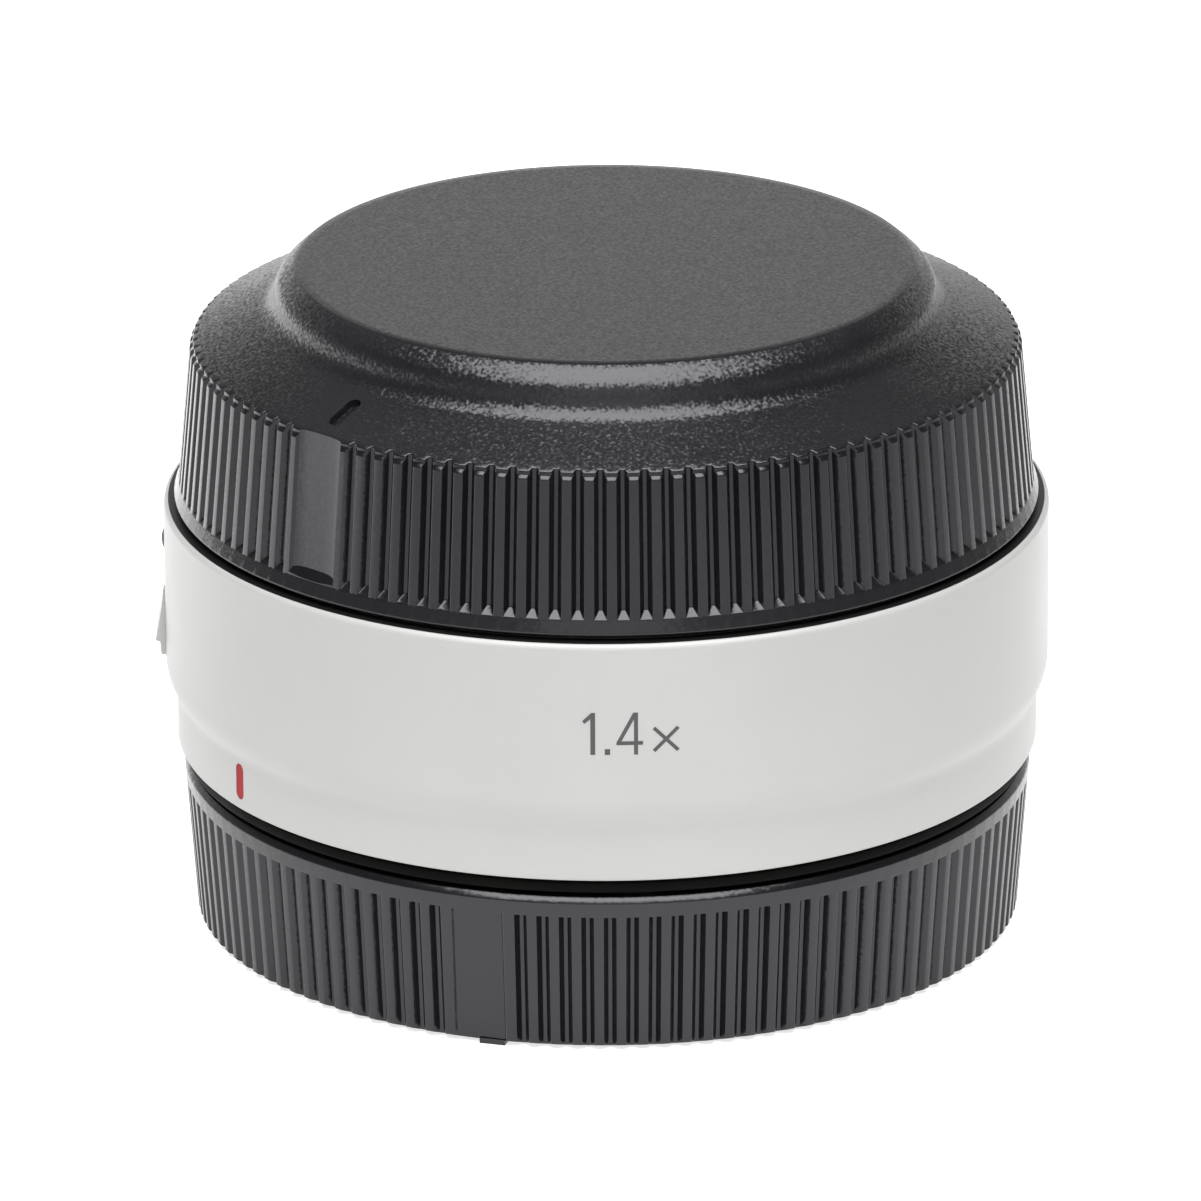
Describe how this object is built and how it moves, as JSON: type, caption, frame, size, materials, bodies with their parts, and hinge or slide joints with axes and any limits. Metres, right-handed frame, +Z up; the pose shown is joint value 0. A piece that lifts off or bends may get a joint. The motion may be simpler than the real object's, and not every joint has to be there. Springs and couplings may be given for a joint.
{
  "type": "camera teleconverter",
  "caption": "White-barrelled camera teleconverter with male and female bayonets, lens elements, contacts and a lens lock release, closed by ribbed black end caps.",
  "frame": {"origin": "centre of the rear cap's flat base, on which the whole assembly stands", "axes": "+Z up along the optical axis from the camera side to the lens side, -X towards the release lever, -Y towards the viewer of the picture"},
  "size_m": [0.072, 0.0712, 0.0545],
  "materials": {
    "cap_plastic": "fine-textured black moulding",
    "white_paint": "satin white paint",
    "red_paint": "semi-gloss red fill",
    "seal_rubber": "matte black rubber",
    "inner_plastic": "matte black",
    "black_metal": "black anodised",
    "steel": "turned and polished",
    "gold": "gold plated",
    "glass": "coated optical glass",
    "board": "green solder mask",
    "flex_film": "amber film"
  },
  "bodies": {
    "rear_cap": {"rear_cap": "cap_plastic"},
    "converter": {"rear_seal_ring": "seal_rubber", "barrel_shell": "white_paint", "index_mark": "red_paint", "lens_index_dot": "inner_plastic", "chassis": "black_metal", "rear_mount_ring": "steel", "rear_mount_screws": "steel", "rear_baffle": "inner_plastic", "rear_contact_block": "inner_plastic", "rear_contact_pads": "gold", "rear_contact_screws": "steel", "rear_flex": "flex_film", "front_mount_ring": "steel", "front_mount_screws": "steel", "front_mount_springs": "steel", "front_contact_block": "inner_plastic", "front_contact_springs": "steel", "front_contact_screws": "steel", "front_flex": "flex_film", "main_board": "board", "board_chips": "inner_plastic", "board_screws": "steel", "lens_tube": "black_metal", "lens_tube_screws": "steel", "front_retaining_ring": "black_metal", "lens_1": "glass", "front_spacer": "black_metal", "lens_2": "glass", "lens_3": "glass", "lens_4": "glass", "lens_5": "glass", "rear_spacer": "black_metal", "lens_6": "glass", "lens_7": "glass", "rear_retaining_ring": "black_metal", "lever_guide_plate": "black_metal", "guide_plate_screws": "steel", "rocker_pivot": "steel", "lock_pin_spring": "steel"},
    "front_cap": {"front_cap": "cap_plastic"},
    "release_lever": {"release_lever": "white_paint"},
    "release_rocker": {"release_rocker": "steel"},
    "lock_pin": {"lock_pin": "steel"},
    "contact_pins": {"front_contact_pins": "gold"}
  },
  "joints": [
    {"name": "converter_lift", "type": "slide", "parent": "rear_cap", "child": "converter", "axis": [0, 0, 1], "range_m": [0, 0.025]},
    {"name": "front_cap_lift", "type": "slide", "parent": "converter", "child": "front_cap", "axis": [0, 0, 1], "range_m": [0, 0.03]},
    {"name": "lever_slide", "type": "slide", "parent": "converter", "child": "release_lever", "axis": [0, 0, 1], "range_m": [0, 0.0016], "stiffness_N_per_m": 60, "springref_m": -0.0015},
    {"name": "rocker_turn", "type": "hinge", "parent": "converter", "child": "release_rocker", "pos_m": [-0.0312, 0, 0.025], "axis": [-1, 0, 0], "range_deg": [0, 24]},
    {"name": "lock_pin_slide", "type": "slide", "parent": "converter", "child": "lock_pin", "axis": [0, 0, -1], "range_m": [0, 0.0016], "deforming": ["lock_pin_spring"]},
    {"name": "contact_press", "type": "slide", "parent": "converter", "child": "contact_pins", "axis": [0, 0, -1], "range_m": [0, 0.0005], "stiffness_N_per_m": 500, "springref_m": -0.0005, "deforming": ["front_contact_springs"]}
  ],
  "couplings": [
    {"joint": "rocker_turn", "follows": "lever_slide", "rad_per_m": 251.7},
    {"joint": "lock_pin_slide", "follows": "lever_slide", "ratio": 1}
  ]
}
